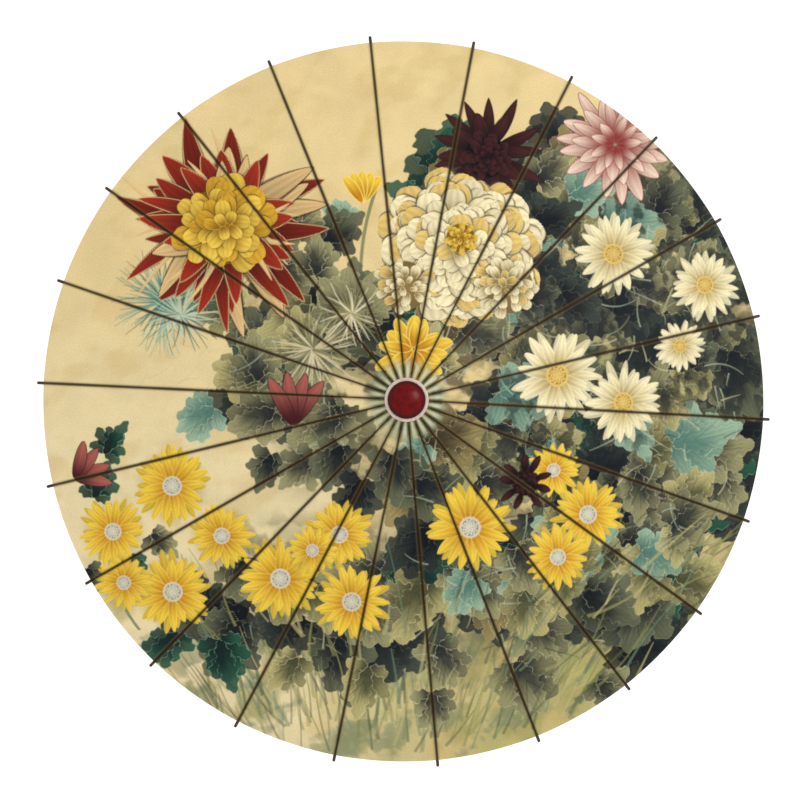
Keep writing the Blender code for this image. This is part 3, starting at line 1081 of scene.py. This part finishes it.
# Profiles as (radius, height) in mm. The cap's are from the middle of the head.
CAP_DOME_R, CAP_DOME_LOW, CAP_DOME_RISE = 21.0, 8.8, 9.6
CAP_UNDERSIDE = ((0.0, 8.6), (20.2, 8.6), (20.9, 8.75))
CAP_RING = (
    (14, 5.4),
    (23.9, 5.4),
    (24.5, 6.4),
    (24.3, 7.8),
    (22.6, 8.4),
    (14, 8.45),
    (14, 5.4),
)
GRIP = (
    (6.7, 4.2),
    (9.8, 4.2),
    (11.1, 7),
    (11.7, 28),
    (10.3, 60),
    (10.6, 88),
    (9.4, 96),
    (11.7, 101),
    (11.1, 108),
    (8.6, 112),
    (6.7, 112),
)
GRIP_END = ((0, 0), (9.7, 0), (10.7, 1.0), (10.6, 3.3), (9.8, 3.9), (0, 3.9))


def lathe(name, profile, material, node):
    """A smooth turned piece that stands for a CAD node. The profile is (radius, z) in mm."""
    shape = bmesh.new()
    corners = [shape.verts.new((radius * MM, 0, z * MM)) for radius, z in profile]
    edges = [shape.edges.new(pair) for pair in zip(corners, corners[1:])]
    bmesh.ops.spin(
        shape,
        geom=corners + edges,
        axis=(0, 0, 1),
        cent=(0, 0, 0),
        angle=2 * math.pi,
        steps=LATHE_SIDES,
        use_merge=True,
    )
    bmesh.ops.remove_doubles(shape, verts=shape.verts, dist=1e-6)
    bmesh.ops.recalc_face_normals(shape, faces=shape.faces)
    mesh = bpy.data.meshes.new(name)
    shape.to_mesh(mesh)
    shape.free()
    mesh.materials.append(material)
    obj = add_smooth_object(name, mesh)
    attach(obj, ROOT)
    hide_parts(node)


def smooth_profile(points):
    """A closer profile through the given points, with rounded corners."""
    path = np.array(points, float)
    for _ in range(2):
        inner = []
        for a, b in zip(path, path[1:]):
            inner += [a * 0.8 + b * 0.2, a * 0.2 + b * 0.8]
        path = np.vstack([path[:1], inner, path[-1:]])
    return [tuple(p) for p in path]


def raised(profile):
    """A profile lifted from the middle of the head to its real height."""
    return [(radius, z + HEAD_Z / MM) for radius, z in profile]


def dome_profile():
    """From the rim of the cap up to its top, which lies on the axis."""
    dome = []
    for t in np.linspace(0.04, math.pi / 2, 16):
        radius = CAP_DOME_R * math.cos(t)
        z = CAP_DOME_LOW + CAP_DOME_RISE * math.sin(t)
        dome.append((0.0 if radius < 0.01 else radius, z))
    return dome


def make_turned_pieces(materials):
    cap = raised([*CAP_UNDERSIDE, *dome_profile()])
    ring = raised(smooth_profile(CAP_RING))
    grip, end = smooth_profile(GRIP), smooth_profile(GRIP_END)
    lathe("cap_dome", cap, materials["lacquer"], "cap")
    lathe("cap_collar_ring", ring, materials["pale"], "cap_ring")
    lathe("grip_turned", grip, materials["dark"], "handle_grip")
    lathe("grip_end", end, materials["dark"], "handle_end")


# Heights of the joints of the shaft's bamboo, in metres.
ROD_JOINTS = (0.158, 0.212, 0.268, 0.31)


def make_bamboos():
    return {
        "bamboo": bamboo_material(
            "bamboo",
            light=rgba(150, 112, 58),
            dark=rgba(84, 56, 24),
            tips=rgba(58, 40, 20),
        ),
        "stretcher": bamboo_material(
            "bamboo_stretcher",
            light=rgba(176, 136, 76),
            dark=rgba(112, 76, 34),
            tips=rgba(60, 42, 20),
        ),
        "rod": rod_material(
            "bamboo_rod",
            light=rgba(176, 134, 72),
            dark=rgba(120, 80, 36),
            coat=0.2,
            marks=ROD_JOINTS,
        ),
    }


def make_woods():
    return {
        "hub": rod_material(
            "hub_wood",
            light=rgba(150, 104, 56),
            dark=rgba(92, 58, 28),
            grain=500,
            stretch=0.12,
            rough=(0.45, 0.65),
        ),
        "dark": rod_material(
            "dark_wood",
            light=rgba(92, 44, 24),
            dark=rgba(44, 20, 12),
            grain=420,
            stretch=0.08,
            coat=0.3,
            rough=(0.22, 0.36),
        ),
        "pale": rod_material(
            "pale_ring",
            light=rgba(226, 206, 196),
            dark=rgba(196, 168, 154),
            grain=600,
            stretch=1.0,
            rough=(0.3, 0.45),
        ),
    }


def make_materials():
    return {
        **make_bamboos(),
        **make_woods(),
        "lacquer": lacquer_material(),
        "brass": metal_material("brass", rgba(206, 170, 96), rgba(140, 106, 50)),
        "wire": metal_material("wire", rgba(150, 148, 142), rgba(92, 88, 80)),
    }


# The CAD nodes that stay and that aren't a rib, a stretcher or a wire.
OTHER_KINDS = {
    "shaft": "rod",
    "head_peg": "rod",
    "head": "hub",
    "runner": "hub",
    "catch": "brass",
}


def dress_frame(materials):
    """Give each CAD node that stays its finished material."""
    for name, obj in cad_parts.items():
        if name.startswith("rib_"):
            kind = "bamboo"
        elif name.startswith("stretcher_"):
            kind = "stretcher"
        elif name.endswith("_wire") or name == "catch_pin":
            kind = "wire"
        else:
            kind = OTHER_KINDS.get(name)
        if kind:
            for slot in obj.material_slots:
                slot.material = materials[kind]


# ---------------------------------------------------------------- stage, light and camera


WHITE_LIGHT = (1.0, 1.0, 1.0, 1.0)

# The umbrella is held in the hand, so the floor lies well below it.
FLOOR_Z = -3.6
FLOOR_HALF = 15.0
FLOOR_GLOW = 0.35


def make_floor():
    """A plain white floor."""
    mesh = bpy.data.meshes.new("floor")
    signs = ((-1, -1), (1, -1), (1, 1), (-1, 1))
    corners = [(x * FLOOR_HALF, y * FLOOR_HALF, 0) for x, y in signs]
    mesh.from_pydata(corners, [], [(0, 1, 2, 3)])
    n = Nodes("floor")
    cloud = n.noise(n.object_space(), 3.0)
    colour = n.mix(cloud, rgba(252, 252, 252), rgba(249, 249, 249))
    material = n.finish(
        colour,
        0.9,
        Emission_Color=WHITE_LIGHT,
        Emission_Strength=FLOOR_GLOW,
        Specular_IOR_Level=0.0,
    )
    mesh.materials.append(material)
    floor = add_object("floor", mesh)
    floor.location.z = FLOOR_Z


# The soft light from all round, and how bright the surroundings look to the camera.
WORLD_STRENGTH = 0.8
SEEN_STRENGTH = 1.0

# The one lamp is a disc, up and to the right. Metres and watts.
KEY_AT = Vector((2.2, 1.2, 4.0))
KEY_TARGET = Vector((0, 0, 0.45))
KEY_SIZE = 1.6
KEY_POWER = 60


def add_key_light():
    light = bpy.data.lights.new("key", "AREA")
    light.shape = "DISK"
    light.size = KEY_SIZE
    light.energy = KEY_POWER
    obj = add_object("key", light)
    obj.location = KEY_AT
    obj.rotation_euler = (KEY_TARGET - KEY_AT).to_track_quat("-Z", "Y").to_euler()


def white_background(node, strength):
    node.inputs["Color"].default_value = WHITE_LIGHT
    node.inputs["Strength"].default_value = strength
    return node.outputs[0]


def make_light():
    """A white world, one strength as light and another as the camera sees it, and a lamp."""
    world = bpy.data.worlds.new("studio")
    world.use_nodes = True
    tree = world.node_tree
    lit = white_background(tree.nodes["Background"], WORLD_STRENGTH)
    seen = white_background(tree.nodes.new("ShaderNodeBackground"), SEEN_STRENGTH)
    mix = tree.nodes.new("ShaderNodeMixShader")
    path = tree.nodes.new("ShaderNodeLightPath")
    tree.links.new(path.outputs["Is Camera Ray"], mix.inputs["Fac"])
    tree.links.new(lit, mix.inputs[1])
    tree.links.new(seen, mix.inputs[2])
    tree.links.new(mix.outputs[0], tree.nodes["World Output"].inputs["Surface"])
    bpy.context.scene.world = world
    add_key_light()
    bpy.context.scene.view_settings.view_transform = "Standard"


# The view is almost straight down the shaft. Its width is at the height of the rim.
VIEW_WIDTH = 0.9112
CAMERA_DISTANCE = 5.0
SENSOR_MM = 36.0
RIM_Z = 0.385
TARGET = Vector((-4.4 * MM, 1.3 * MM, RIM_Z))
CAMERA_LEAN = Euler((math.radians(0.55), math.radians(-1.1), 0))


def make_camera():
    camera = add_object("camera", bpy.data.cameras.new("camera"))
    camera.data.sensor_width = SENSOR_MM
    camera.data.lens = SENSOR_MM * CAMERA_DISTANCE / VIEW_WIDTH
    camera.data.clip_end = 50.0
    camera.rotation_euler = CAMERA_LEAN
    back = CAMERA_LEAN.to_matrix() @ Vector((0, 0, 1))
    camera.location = TARGET + back * CAMERA_DISTANCE
    bpy.context.scene.camera = camera


materials = make_materials()
dress_frame(materials)
make_paper()
make_turned_pieces(materials)
make_floor()
make_light()
make_camera()
